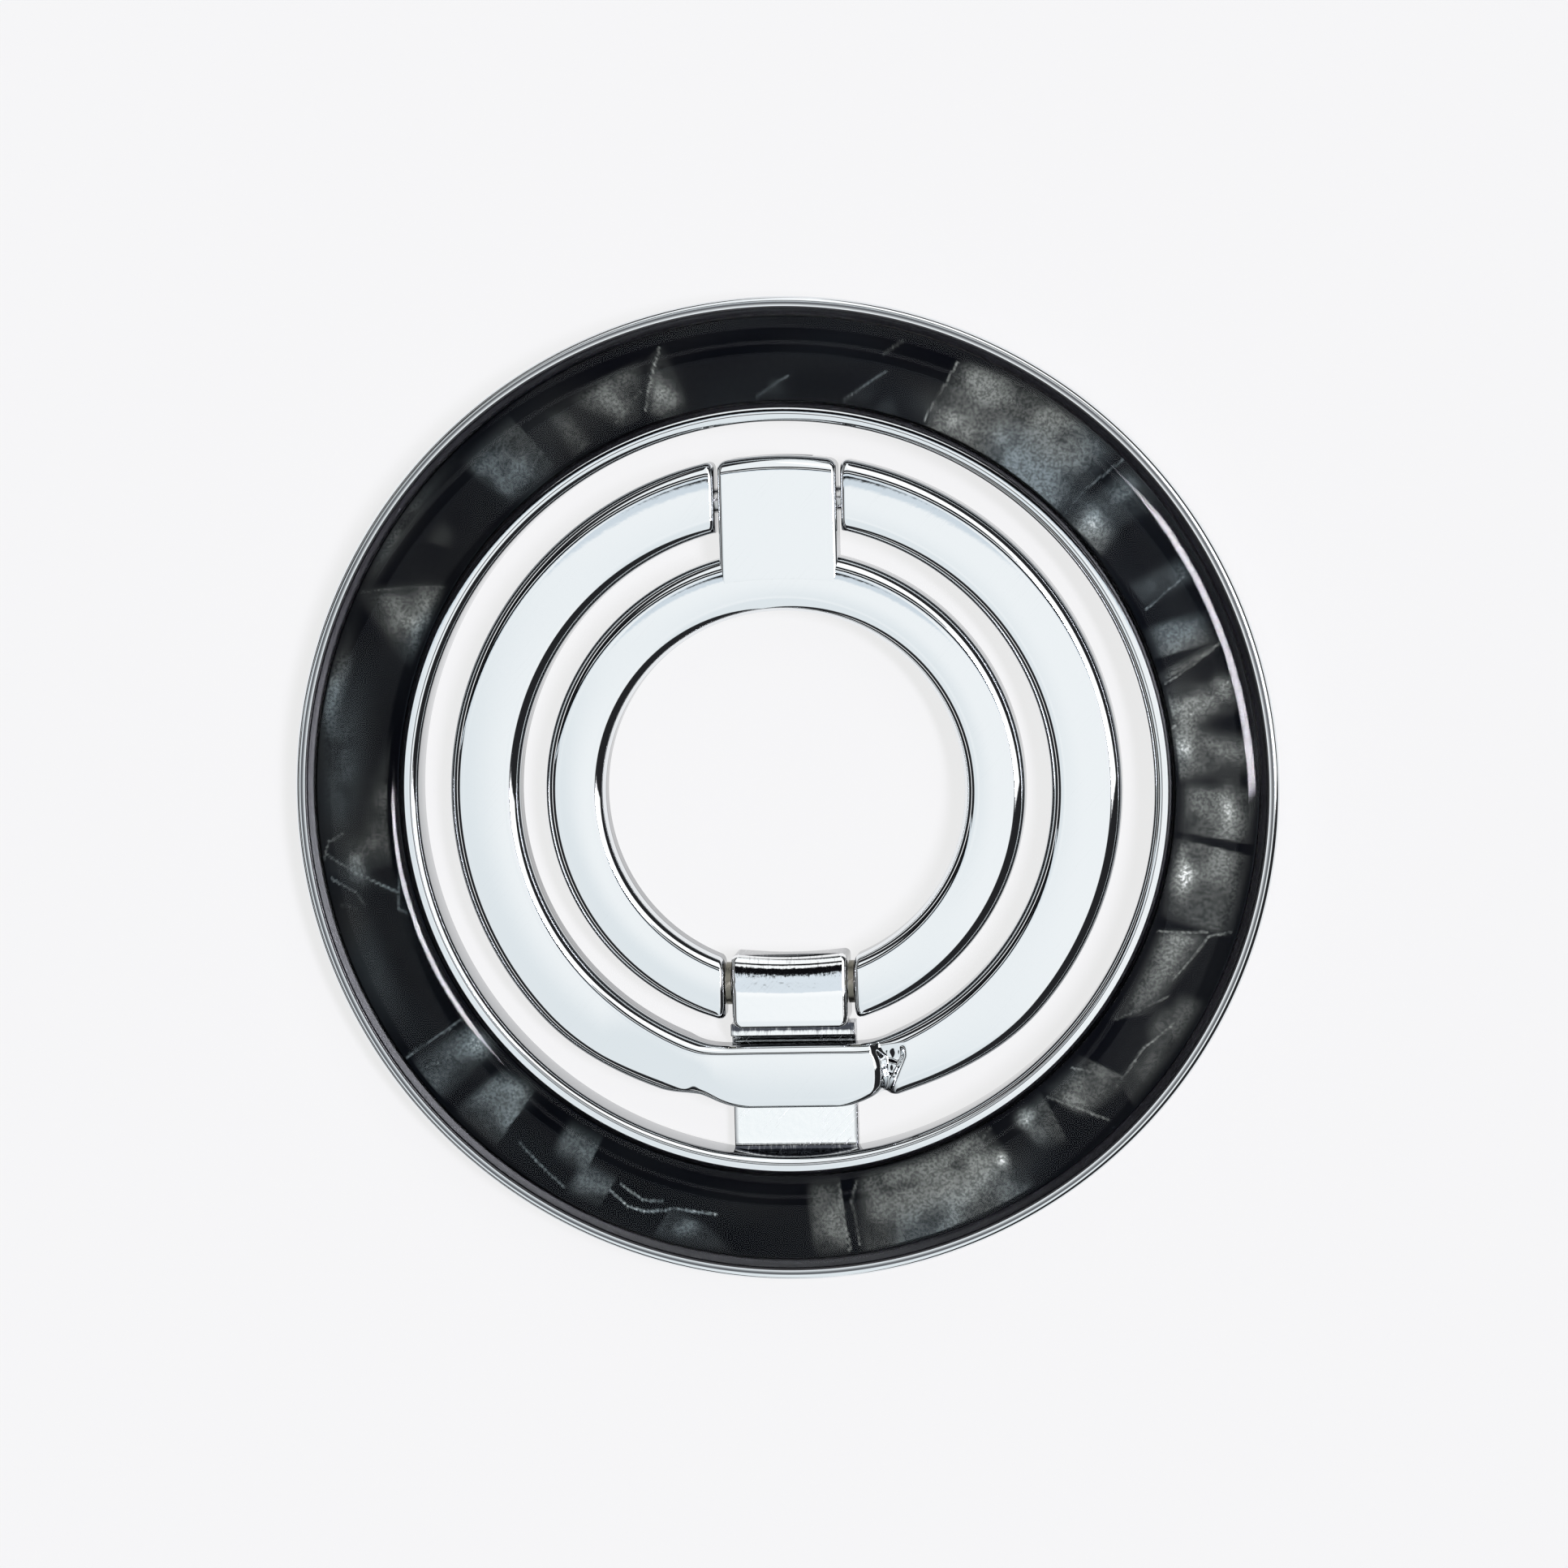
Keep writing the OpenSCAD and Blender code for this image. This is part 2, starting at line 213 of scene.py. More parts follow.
# %% Ring with ends cut along X
CROWN = 0.025
FINGER_CUT_X = 3.97
EDGE, FOOT, END_EDGE, CORNER_OUT, CORNER_IN = 0.85, 0.55, 0.3, 0.5, 0.35


def finger_ring_grid():
    """Angle = start(radius) + share * (end(radius) - start(radius)); ends rounded."""
    r_mid = (FINGER_R + INNER_R) / 2
    length = r_mid * (2 * np.pi - 2 * np.arcsin(FINGER_CUT_X / r_mid))
    s = with_ends(length, CORNER_OUT, 0.2)
    e = np.minimum(s, length - s)
    n = np.ones_like(s)
    sec = soft_section(FINGER_R + drop(CORNER_IN, e), INNER_R - drop(CORNER_OUT, e),
                       RING_LOW + drop(END_EDGE, e), RING_TOP - CROWN - drop(END_EDGE, e),
                       FOOT * n, FOOT * n, EDGE * n, EDGE * n, 16, CROWN)
    rho, z = sec[..., 0], sec[..., 1]
    half_gap = np.arcsin(FINGER_CUT_X / rho)
    share = (s / length)[:, None]
    turn = half_gap + share * (2 * np.pi - 2 * half_gap)
    return np.stack([rho * np.sin(turn), -rho * np.cos(turn), z], -1)


finger_ring = piece_from_grid("finger_ring", finger_ring_grid(), "finger_ring", ["inner_ring"])


# %% [markdown]
# ## Tab and knuckle
# A section in X and Z is carried along Y, and the last rows draw in at the round
# end. The tab's outer end follows a circle round the middle of the holder.

# %% Tab
TAB_HALF_W, TAB_Y, TAB_R = 3.6, 12.6, MIDDLE_R - 0.1
TAB_LONG_EDGE = 0.3
TAB_END_TOP, TAB_END_LOW, TAB_END_CORNER = 0.85, 0.55, 0.5
SINK = 0.004
UNDER = 0.0006


def tab_grid():
    """y = TAB_Y + share * (sqrt(TAB_R^2 - x^2) - TAB_Y), so the end is an arc.

    The top starts a little below the ring's crown and rises to it within 0.4 mm,
    and the underside lies just below the ring's, so no line shows where they meet."""
    length = TAB_R - TAB_Y
    s = np.concatenate([[0.0], np.arange(0.12, length - TAB_END_TOP, 0.12),
                        (length - end_steps(TAB_END_TOP, 16))[::-1]])
    e = length - s
    w = TAB_HALF_W - drop(TAB_END_CORNER, e)
    sunk = SINK * (1 - smooth_step(TAB_Y + s, TAB_Y, 13.0))
    top = RING_TOP - sunk - drop(TAB_END_TOP, e)
    low = RING_LOW - UNDER + drop(TAB_END_LOW, e)
    edge = TAB_LONG_EDGE * np.ones_like(s)
    sec = soft_section(-w, w, low, top, edge, edge, edge, edge, across=24)
    x, z = sec[..., 0], sec[..., 1]
    y = TAB_Y + (s / length)[:, None] * (np.sqrt(TAB_R ** 2 - x ** 2) - TAB_Y)
    return np.stack([x, y, z], -1)


tab = piece_from_grid("hinge_tab", tab_grid(), "finger_ring", ["inner_ring"])


# %% Knuckle
KNUCKLE_HALF_W = 3.52


def knuckle_grid():
    """Rows run from the ledge to the finger hole; the tilt of the top is summed up.

    The top is flat, tilts by 3.7 degrees at a soft crease and falls off at the end.
    The last row follows y = y1 + 0.22 * (x / half width)^2, a shallow arc."""
    y0, y1 = -14.5, -10.17
    length = y1 - y0
    s = np.concatenate([end_steps(0.6), np.arange(0.66, length - 0.5, 0.06),
                        (length - end_steps(0.45, 16))[::-1]])
    e0, e1 = s, length - s
    y = y0 + s
    tilt = np.radians(3.7 * smooth_step(y, -12.65, -12.25)
                      + 0.35 * np.clip((y + 12.25) / 1.05, 0, 1)
                      + 4.2 * np.clip((y + 11.2) / 0.6, 0, 1))
    fall = np.concatenate([[0], np.cumsum(np.tan((tilt[1:] + tilt[:-1]) / 2) * np.diff(s))])
    top = RING_TOP - fall - drop(0.4, e0) - drop(0.45, e1)
    w = KNUCKLE_HALF_W - drop(0.55, e0) - drop(0.4, e1)
    n = np.ones_like(s)
    sec = soft_section(-w, w, BACK_Z + drop(0.1, e0) + drop(0.4, e1), top,
                       0.1 * n, 0.1 * n, 0.34 * n, 0.34 * n, across=24)
    x, z = sec[..., 0], sec[..., 1]
    y = y0 + (s / length)[:, None] * (y1 + 0.22 * (x / KNUCKLE_HALF_W) ** 2 - y0)
    return np.stack([x, y, z], -1)


knuckle = piece_from_grid("hinge_knuckle", knuckle_grid(), "base", ["base_frame"])


# %% [markdown]
# ## The base ring
# One section is turned round the Z axis. It has two rims with round edges, the
# channel for the pearl band and, behind, the groove for the magnets.

# %% Section turned round Z
def arc_points(ca, cz, r, start, end, count=10):
    """Points on a circle of radius r round (ca, cz) between two angles in degrees."""
    t = np.radians(np.linspace(start, end, count))
    return np.stack([ca + r * np.cos(t), cz + r * np.sin(t)], -1)


def turned(name, section, body, nodes, around=720):
    """Turns a closed (radius, z) section round the Z axis."""
    t = np.linspace(0, 2 * np.pi, around, endpoint=False)[:, None]
    rho, z = section[None, :, 0], section[None, :, 1]
    grid = np.stack([rho * np.cos(t), rho * np.sin(t), z + 0 * t], -1)
    return piece_from_grid(name, grid, body, nodes, wrap_rows=True)


def base_section():
    """Outline of the casting: outer wall, outer rim, channel, inner rim, groove."""
    sharp = 0.05
    return np.concatenate([
        arc_points(BASE_R - 0.4, BACK_Z + 0.4, 0.4, -90, 0),
        arc_points(BASE_R - 0.3, RIM_Z - 0.3, 0.3, 0, 88, 14),
        [[29.7, RIM_Z], [29.66, RIM_Z], [29.62, RIM_Z], [29.58, RIM_Z]],
        [[CHANNEL_OUT + 0.13, RIM_Z]],
        arc_points(CHANNEL_OUT + sharp, RIM_Z - sharp, sharp, 90, 180, 5),
        arc_points(CHANNEL_OUT - 0.1, CHANNEL_Z + 0.1, 0.1, 0, -90, 5),
        arc_points(CHANNEL_IN + 0.1, CHANNEL_Z + 0.1, 0.1, -90, -180, 5),
        arc_points(CHANNEL_IN - sharp, RIM_Z - sharp, sharp, 0, 90, 5),
        [[22.97, RIM_Z], [22.94, RIM_Z], [22.91, RIM_Z], [22.88, RIM_Z]],
        arc_points(HOLE_R + 0.45, RIM_Z - 0.45, 0.45, 94, 180, 14),
        arc_points(HOLE_R + 0.4, BACK_Z + 0.4, 0.4, 180, 270),
        arc_points(GROOVE_IN - sharp, BACK_Z + sharp, sharp, -90, 0, 5),
        arc_points(GROOVE_IN + 0.1, WEB_Z - 0.1, 0.1, 180, 90, 5),
        arc_points(GROOVE_OUT - 0.1, WEB_Z - 0.1, 0.1, 90, 0, 5),
        arc_points(GROOVE_OUT + sharp, BACK_Z + sharp, sharp, 180, 270, 5)])


base_ring = turned("base_ring", base_section(), "base", ["base_frame"])


# %% Pearl sheet and resin
def resin_section():
    """Height = crown - sum of slopes: under 20 degrees on the dome, 51 at its edges."""
    half = (CHANNEL_OUT - CHANNEL_IN) / 2 - 0.005
    mid = (CHANNEL_IN + CHANNEL_OUT) / 2
    u = np.linspace(0, 1, 60)
    slope = np.radians(21 * u ** 1.3 + 30 * smooth_step(u, 0.78, 1.0))
    steps = np.tan((slope[1:] + slope[:-1]) / 2) * np.diff(u) * half
    fall = np.concatenate([[0], np.cumsum(steps)])
    side = np.stack([mid + half * u, CROWN_Z - fall], -1)
    other = np.stack([mid - half * u[1:], CROWN_Z - fall[1:]], -1)
    floor_z = CHANNEL_Z + 0.28
    print("resin edge at", round(float(side[-1, 1]), 2))
    return np.concatenate([[[mid - half, floor_z], [mid + half, floor_z]], side[::-1], other])


PEARL_IN, PEARL_OUT, PEARL_TOP = 23.75, 28.75, CHANNEL_Z + 0.29
pearl = turned("pearl_band", np.concatenate([
    np.stack([np.linspace(PEARL_OUT, PEARL_IN, 56), np.full(56, PEARL_TOP)], -1),
    [[PEARL_IN - 0.01, PEARL_TOP - 0.02], [PEARL_IN - 0.01, CHANNEL_Z + 0.01],
     [PEARL_OUT + 0.01, CHANNEL_Z + 0.01], [PEARL_OUT + 0.01, PEARL_TOP - 0.02]]]),
    "base", ["pearl_inlay"], around=1500)
resin = turned("clear_resin", resin_section(), "base", ["resin_dome"])


# %% [markdown]
# ## The tongue
# A strap runs from the base ring under the bar to the knuckle. Its side view is
# swept along X, and a small bevel takes off the sharp edges of the stamping.

# %% Strap from its side view
def tongue_outline():
    """Side view in Y and Z: strap, ledge with a fillet, fillet at the base ring."""
    ledge_y, root_y = -15.15, -HOLE_R - 0.2
    return np.concatenate([
        [[-22.85, BACK_Z], [-14.4, BACK_Z], [-14.4, 2.45]],
        [[ledge_y, 2.45]],
        arc_points(ledge_y - 0.5, TONGUE_Z + 0.5, 0.5, 0, -90, 8),
        arc_points(root_y + 0.8, TONGUE_Z + 0.8, 0.8, -90, -180, 12),
        [[-22.85, 2.3]]])


def finer(outline, step):
    """Adds points along a closed outline so that no side is longer than step."""
    parts = []
    for a, b in zip(outline, np.roll(outline, -1, 0)):
        count = max(1, int(np.ceil(np.hypot(*(b - a)) / step)))
        parts.append(a + (b - a) * (np.arange(count) / count)[:, None])
    return np.concatenate(parts)


def swept_along_x(name, outline, x_values, body, nodes):
    """Carries a closed (y, z) outline along X."""
    x = np.asarray(x_values)[:, None]
    grid = np.stack([x + 0 * outline[None, :, 0], outline[None, :, 0] + 0 * x,
                     outline[None, :, 1] + 0 * x], -1)
    return piece_from_grid(name, grid, body, nodes)


tongue = swept_along_x("tongue_strap", finer(tongue_outline(), 0.1), (-3.8, -3.5, 3.5, 3.8),
                       "base", ["base_frame"])
bevel = tongue.modifiers.new("edge", "BEVEL")
bevel.width, bevel.segments, bevel.limit_method = 0.2 * MM, 4, "ANGLE"
bevel.angle_limit = math.radians(40)
bevel.harden_normals = True


# %% [markdown]
# ## The C-shaped ring
# One section is carried round the whole C: band, neck, bar, neck, band. For each
# angle the inner and outer radius and the top are worked out, so that the bar,
# the slanted shoulders and the valleys beside it are all one surface.

# %% C-shaped ring with the bar
BAR_IN_Y, BAR_OUT_Y = 15.5, 19.37
SLANT, SLANT_X = math.radians(25), 3.65
NEAR_BAR = 0.8


def c_outline(turn):
    """Inner and outer radius for each angle from +Y.

    The inner radius is the smaller of the band's and the bar's straight edge. The
    outer one is the larger of the flattened band and the bar with its slants."""
    below, side = -np.cos(turn), np.abs(np.sin(turn))
    low = np.where(below > NEAR_BAR, below, np.inf)
    from_bottom = np.degrees(np.abs(turn - np.pi))
    straight = np.where(below > NEAR_BAR, BAR_IN_Y / low, 99)
    r_in = soft_min(np.full_like(turn, MIDDLE_IN_R), straight, 0.3)
    flat = 0.75 * (1 - smooth_step(from_bottom, 14, 48))
    notch = 0.45 * np.where(turn > np.pi, 1 - smooth_step(from_bottom, 15.5, 24),
                            1 - smooth_step(from_bottom, 16.2, 19.2))
    band = MIDDLE_R - flat - notch
    reach = SLANT_X * math.sin(SLANT) + BAR_OUT_Y * math.cos(SLANT)
    slant = reach / np.maximum(below * math.cos(SLANT) + side * math.sin(SLANT), 0.5)
    bar = soft_min(np.where(below > NEAR_BAR, BAR_OUT_Y / low, 0), slant, 0.5)
    return r_in, np.where(below > NEAR_BAR, soft_max(band, bar, 0.1), band)


def c_top(x, y):
    """How far the top is lifted at x, y.

    The bar stands 0.35 mm high. At its left end the ring falls to its own height
    in one long soft slope with a shallow dimple; at its right end it drops into a
    rough valley before the ring starts again."""
    rise = BAR_TOP - RING_TOP
    arm = rise * (1 - smooth_step(-x, 4.6, 11.5)) - 0.07 * np.exp(
        -((x + 6.3) / 0.55) ** 2 - ((y + 18.2) / 1.0) ** 2)
    bar_end = 5.5 - 0.28 * np.clip(np.abs(y + 17.3) / 1.3, 0, 1) ** 3
    arm_end = 6.95 - 0.42 * np.clip(-y - 16.3, 0, 2.3)
    bar = rise * (1 - smooth_step(x, bar_end - 0.4, bar_end + 0.2))
    pit = smooth_step(x, bar_end - 0.05, bar_end + 0.4) * (
        1 - smooth_step(x, arm_end - 0.3, arm_end + 0.1))
    pit = pit * smooth_step(-y, BAR_IN_Y, 16.3)
    rough = 0.05 * np.sin(5.1 * x + 3.3 * y) * np.sin(4.2 * y - 3.1 * x + 1)
    right = bar - pit * (0.42 + rough + 0.1 * smooth_step(-y, 17.2, 18.6))
    return np.where(y < LOWER_Y, np.where(x < 0, arm, right), 0)


def c_ring_grid():
    """Angles run from one cut beside the tab, through the bar, to the other cut."""
    x_cut, r_mid = 3.85, (MIDDLE_IN_R + MIDDLE_R) / 2
    gap = np.arcsin(x_cut / r_mid)
    length = r_mid * (2 * np.pi - 2 * gap)
    half, span = length / 2, 9.5
    s = with_ends(length, 0.5, 0.25)
    s = np.sort(np.concatenate([s[np.abs(s - half) > span],
                                np.arange(half - span, half + span, 0.05)]))
    e = np.minimum(s, length - s)
    turn = gap + s / length * (2 * np.pi - 2 * gap)
    r_in, r_out = c_outline(turn)
    on_bar = np.exp(-(np.abs(s - half) / 6.2) ** 8)
    n = np.ones_like(s)
    sec = soft_section(r_in, r_out - drop(0.5, e), RING_LOW + drop(0.3, e),
                       RING_TOP - CROWN - drop(0.3, e), 0.55 * n, 0.55 * n,
                       0.85 - 0.4 * on_bar, 0.85 - 0.25 * on_bar, 26, CROWN)
    rho, z = sec[..., 0], sec[..., 1]
    cut = np.arcsin(x_cut / rho)
    angle = cut + (s / length)[:, None] * (2 * np.pi - 2 * cut)
    x, y = rho * np.sin(angle), rho * np.cos(angle)
    upper = z > (RING_LOW + RING_TOP) / 2
    under = (BAR_LOW - RING_LOW) * (1 - smooth_step(np.abs(x), 5.6, 6.4)) * (y < LOWER_Y)
    return np.stack([x, y, z + np.where(upper, c_top(x, y), under)], -1)


foot_ring = piece_from_grid("foot_ring", c_ring_grid(), "foot_ring", ["middle_ring"])

# %% [markdown]
# ## Tools for materials
# A material is a net of nodes. These small helpers make one node each, so that a
# finish reads like a sum. All patterns use Object coordinates in millimetres.

# %% Node helpers
def link(tree, value, socket):
    """Joins an output to an input, or writes a number or colour into the input."""
    if hasattr(value, "is_output"):
        tree.links.new(value, socket)
    elif isinstance(value, tuple):
        socket.default_value = (*value, 1)[:len(socket.default_value)]
    else:
        socket.default_value = value


def calc(tree, op, a, b=None, c=None):
    """A math node; each input is a number or an output."""
    node = tree.nodes.new("ShaderNodeMath")
    node.operation = op
    for k, v in enumerate((a, b, c)):
        if v is not None:
            link(tree, v, node.inputs[k])
    return node.outputs[0]


def ramp(tree, value, start, stop, low=0.0, high=1.0, smooth=True):
    """Maps start..stop to low..high, held at both ends."""
    node = tree.nodes.new("ShaderNodeMapRange")
    node.interpolation_type = "SMOOTHSTEP" if smooth else "LINEAR"
    for k, v in enumerate((value, start, stop, low, high)):
        link(tree, v, node.inputs[k])
    return node.outputs[0]


def blend_color(tree, mask, a, b):
    """Colour a where the mask is 0 and b where it is 1."""
    node = tree.nodes.new("ShaderNodeMix")
    node.data_type = "RGBA"
    for v, k in ((mask, 0), (a, 6), (b, 7)):
        link(tree, v, node.inputs[k])
    return node.outputs[2]


def millimetres(tree):
    """Object coordinates in millimetres."""
    coord = tree.nodes.new("ShaderNodeTexCoord")
    place = tree.nodes.new("ShaderNodeMapping")
    place.inputs["Scale"].default_value = (SCALE_UP,) * 3
    tree.links.new(coord.outputs["Object"], place.inputs[0])
    return place.outputs[0]


def noise(tree, where, scale, detail=2.0, rough=0.5):
    """Noise with a number of waves per millimetre."""
    node = tree.nodes.new("ShaderNodeTexNoise")
    tree.links.new(where, node.inputs["Vector"])
    node.inputs["Scale"].default_value = scale
    node.inputs["Detail"].default_value = detail
    node.inputs["Roughness"].default_value = rough
    return node.outputs


def new_material(name, color, metallic, roughness):
    """A material with one Principled shader and plain starting values."""
    mat = bpy.data.materials.new(name)
    mat.use_nodes = True
    bsdf = mat.node_tree.nodes["Principled BSDF"]
    bsdf.inputs["Base Color"].default_value = (*color, 1)
    bsdf.inputs["Metallic"].default_value = metallic
    bsdf.inputs["Roughness"].default_value = roughness
    return mat, mat.node_tree, bsdf


def bump(tree, height, distance, bsdf):
    """Turns a height of 0..1 into relief of this many millimetres."""
    node = tree.nodes.new("ShaderNodeBump")
    node.inputs["Strength"].default_value = 1.0
    node.inputs["Distance"].default_value = distance * MM
    link(tree, height, node.inputs["Height"])
    tree.links.new(node.outputs[0], bsdf.inputs["Normal"])


# %% [markdown]
# ## Chrome
# Plating over a polished casting is a mirror, but never a perfect one: it waves
# a little, so that the edge of a dark reflection looks serrated, and hair lines
# cross it. Its side walls get a darker colour, which is painted shade standing in
# for the dark they mirror, with a ragged painted edge. Ripple and hair lines are one
# group, since every metal here uses it, and the walls are marked on the mesh.

# %% Group: ripple and hair lines
def make_group(name, inputs, outputs):
    """A shader node group with named sockets of the given kinds."""
    group = bpy.data.node_groups.new(name, "ShaderNodeTree")
    for side, sockets in (("INPUT", inputs), ("OUTPUT", outputs)):
        for label, kind, value in sockets:
            socket = group.interface.new_socket(label, in_out=side, socket_type=kind)
            if value is not None:
                socket.default_value = value
    return group, group.nodes.new("NodeGroupInput"), group.nodes.new("NodeGroupOutput")


polish, p_in, p_out = make_group(
    "polish", [("Place", "NodeSocketVector", None), ("Ripple", "NodeSocketFloat", 1.0),
               ("Hairs", "NodeSocketFloat", 0.3), ("Teeth", "NodeSocketFloat", 0.0)],
    [("Height", "NodeSocketFloat", None), ("Hair mask", "NodeSocketFloat", None),
     ("Shade_edge", "NodeSocketFloat", None)])
fine = noise(polish, p_in.outputs[0], 2.6, 1.5, 0.5)[0]
stretch = polish.nodes.new("ShaderNodeMapping")
stretch.vector_type = "TEXTURE"
stretch.inputs["Rotation"].default_value = (0, 0, math.radians(48))
stretch.inputs["Scale"].default_value = (7.0, 0.11, 1.0)
polish.links.new(p_in.outputs[0], stretch.inputs[0])
hair = ramp(polish, noise(polish, stretch.outputs[0], 1.0, 3.0, 0.6)[0], 0.56, 0.64)
patch = ramp(polish, noise(polish, p_in.outputs[0], 0.35, 1.0)[0], 0.4, 0.55)
hair = calc(polish, "MULTIPLY", calc(polish, "MULTIPLY", hair, patch), p_in.outputs[2])
comb = polish.nodes.new("ShaderNodeMapping")
comb.inputs["Scale"].default_value = (6.5, 1.1, 1.0)
polish.links.new(p_in.outputs[0], comb.inputs[0])
teeth = noise(polish, comb.outputs[0], 1.0, 2.0, 0.6)[0]
# The comb noise also gives the ragged edge of the painted wall shade.
polish.links.new(teeth, p_out.inputs[2])
fine = calc(polish, "ADD", calc(polish, "MULTIPLY", teeth, p_in.outputs[3]), fine)
height = calc(polish, "ADD", calc(polish, "MULTIPLY", fine, p_in.outputs[1]),
              calc(polish, "MULTIPLY", hair, -0.35))
polish.links.new(height, p_out.inputs[0])
polish.links.new(hair, p_out.inputs[1])


def metal(name, color, roughness, ripple, hairs, wall_color=None, relief=0.004, teeth=0.0):
    """A metal with the polish group; its walls, marked per point, may get a painted darker shade,
    with a ragged edge where the comb teeth are.
    """
    mat, tree, bsdf = new_material(name, color, 1.0, roughness)
    group = tree.nodes.new("ShaderNodeGroup")
    group.node_tree = polish
    tree.links.new(millimetres(tree), group.inputs["Place"])
    group.inputs["Ripple"].default_value = ripple
    group.inputs["Hairs"].default_value = hairs
    comb_here = tree.nodes.new("ShaderNodeAttribute")
    comb_here.attribute_name = "teeth"
    comb_relief_and_shade = comb_here.outputs["Fac"]
    tree.links.new(calc(tree, "MULTIPLY", comb_relief_and_shade, teeth), group.inputs["Teeth"])
    bump(tree, group.outputs["Height"], relief, bsdf)
    base = blend_color(tree, calc(tree, "MULTIPLY", group.outputs["Hair mask"], 0.25),
                       color, tuple(0.75 * v for v in color))
    # Painted shade: walls, and the combed places, take the darker wall colour.
    if wall_color:
        wall = tree.nodes.new("ShaderNodeAttribute")
        wall.attribute_name = "wall"
        edge = calc(tree, "MULTIPLY_ADD", calc(tree, "SUBTRACT", group.outputs["Shade_edge"], 0.5),
                    calc(tree, "MULTIPLY", comb_relief_and_shade, 1.6), wall.outputs["Fac"])
        base = blend_color(tree, ramp(tree, edge, 0.1, 0.9, smooth=False), base, wall_color)
    tree.links.new(base, bsdf.inputs["Base Color"])
    tree.links.new(calc(tree, "ADD", calc(tree, "MULTIPLY", group.outputs["Hair mask"], 0.2),
                        roughness), bsdf.inputs["Roughness"])
    return mat


# Painted shade for the side walls of the chrome.
WALL_SHADE_TONE = (0.13, 0.135, 0.145)
chrome = metal("bright_chrome", (0.85, 0.875, 0.89), 0.025, 1.0, 0.15, WALL_SHADE_TONE, 0.0008)
wavy_chrome = metal("wavy_chrome", (0.95, 0.96, 0.965), 0.03, 1.0, 0.1, WALL_SHADE_TONE, 0.0015, 2.2)
# The scuffed chrome has real hair lines and scuffs; its walls take an even darker painted shade.
scuffed_shaded_chrome = metal("scuffed_chrome_painted_shade", (0.97, 0.985, 0.985), 0.08, 1.3, 1.0, (0.07, 0.075, 0.09),
                    0.003, 1.5)


# %% Mark the walls for the painted shade
WALL_SHADE_START, WALL_SHADE_FULL = 0.75, 0.97


def mark_walls(piece):
    """Point attribute for the painted wall shade: 0 where a surface faces up or down, 1 where it
    is upright.
    """
    mesh = piece.data
    normal = np.empty(len(mesh.vertices) * 3)
    mesh.vertex_normals.foreach_get("vector", normal)
    flatness = 1 - np.abs(normal.reshape(-1, 3)[:, 2])
    mark = mesh.attributes.new("wall", "FLOAT", "POINT")
    mark.data.foreach_set("value", smooth_step(flatness, WALL_SHADE_START, WALL_SHADE_FULL))


for piece, finish in ((finger_ring, chrome), (tab, chrome), (knuckle, wavy_chrome),
                      (foot_ring, chrome), (tongue, scuffed_shaded_chrome)):
    mark_walls(piece)
    piece.data.materials.append(finish)


# %% Painted shade marks on the tongue, the foot ring, the knuckle and the base ring
def points_of(mesh):
    """The mesh's points in millimetres, as an array."""
    where = np.empty(len(mesh.vertices) * 3)
    mesh.vertices.foreach_get("co", where)
    return where.reshape(-1, 3) * SCALE_UP


spot = points_of(tongue.data)
# Painted shade on the tongue: dark bands at the ledge corner and at the root, where the strap
# bends, and a darker tone on its upright sides.
corner = smooth_step(spot[:, 1], -14.9, -14.8)
root = 1 - smooth_step(spot[:, 1], -22.1, -21.9)
upright = np.abs(spot[:, 0]) > 3.7
mark = tongue.data.attributes["wall"]
mark.data.foreach_set("value", np.where(upright, 0.8, np.maximum(corner, root)))
# Comb teeth at the same two bands: relief, and a ragged edge for the painted shade there.
mark = tongue.data.attributes.new("teeth", "FLOAT", "POINT")
mark.data.foreach_set("value", np.maximum(smooth_step(spot[:, 1], -15.6, -15.2),
                                          1 - smooth_step(spot[:, 1], -22.0, -21.5)))

spot = points_of(foot_ring.data)
mark = foot_ring.data.attributes["wall"]
wall = np.empty(len(spot))
mark.data.foreach_get("value", wall)
# A painted dark spot beside the valley at the bar's right end, kept to the top.
foot = np.exp(-((spot[:, 0] - 6.05) / 0.35) ** 2 - ((spot[:, 1] + 18.5) / 0.5) ** 2)
mark.data.foreach_set("value", np.maximum(wall, 1.3 * foot * (spot[:, 2] > 2.5)))

spot = points_of(knuckle.data)
# Comb teeth near the finger hole: relief, and a painted dark serrated band.
mark = knuckle.data.attributes.new("teeth", "FLOAT", "POINT")
mark.data.foreach_set("value", smooth_step(spot[:, 1], -11.7, -11.3))

spot = points_of(base_ring.data)
rho, top_face = np.hypot(spot[:, 0], spot[:, 1]), spot[:, 2] > RIM_Z - 0.01
# Painted shade: thin dark lines on both rim lands and a darker inner wall.
painted_lines = ((np.abs(rho - 29.62) < 0.05) | (np.abs(rho - 22.925) < 0.02)) & top_face
inner_wall = (rho < HOLE_R + 0.1) & ~top_face
mark = base_ring.data.attributes.new("wall", "FLOAT", "POINT")
mark.data.foreach_set("value", np.where(painted_lines, 0.9, np.where(inner_wall, 0.7, 0.0)))
base_ring.data.materials.append(chrome)

# %% [markdown]
# ## Black lacquer and painted shade in the channel
# The floor of the channel is dark on the real holder: the band of pearl sheet has a
# black border. Its walls only look black through the resin, and their black here is
# painted shade. The faces of the base ring whose middle lies in the channel, with a
# thin strip at the outer rim's edge, get this colour.

